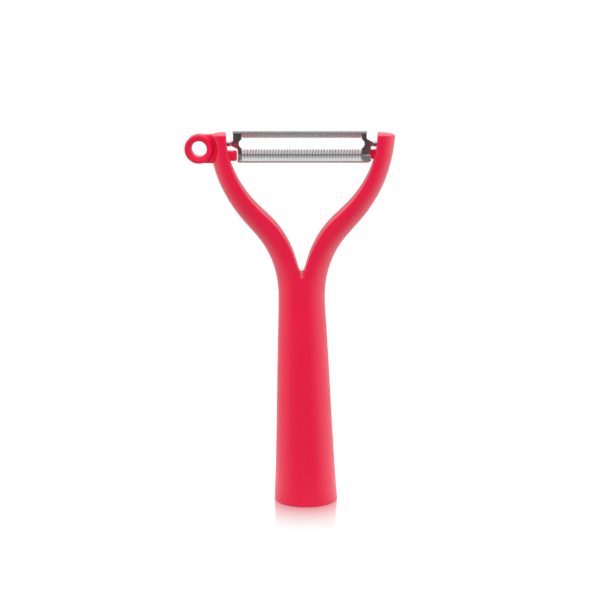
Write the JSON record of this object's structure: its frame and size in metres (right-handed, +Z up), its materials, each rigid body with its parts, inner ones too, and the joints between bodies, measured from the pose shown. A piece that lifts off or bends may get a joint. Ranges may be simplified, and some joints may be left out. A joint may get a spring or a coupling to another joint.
{
  "type": "y-shaped swivel peeler",
  "caption": "Y-shaped vegetable and fruit peeler: round red plastic grip that stands on its foot, two-armed yoke with an eye ring, and a swivelling steel blade with a serrated slot.",
  "frame": {"origin": "point of the flat foot face that lies on the symmetry plane of the yoke, midway between its two arms", "axes": "+Z up along the handle from the foot to the blade; +X along the blade, away from the eye ring; -Y towards the user who sees the hollow side of the blade at rest"},
  "size_m": [0.0912, 0.0282, 0.1659],
  "materials": {
    "red_plastic": "smooth glossy moulded plastic, very light orange peel",
    "red_plastic_plug": "moulded plastic, slightly less glossy than the handle",
    "blade_steel": "polished stainless strip with fine lengthwise rolling lines and ground flutes"
  },
  "bodies": {
    "handle": {"handle_body": "red_plastic", "foot_plug": "red_plastic_plug"},
    "blade": {"blade": "blade_steel"}
  },
  "joints": [
    {"name": "blade_swivel", "type": "hinge", "parent": "handle", "child": "blade", "pos_m": [0, 0.004, 0.1599], "axis": [-1, 0, 0], "range_deg": [0, 195]}
  ]
}
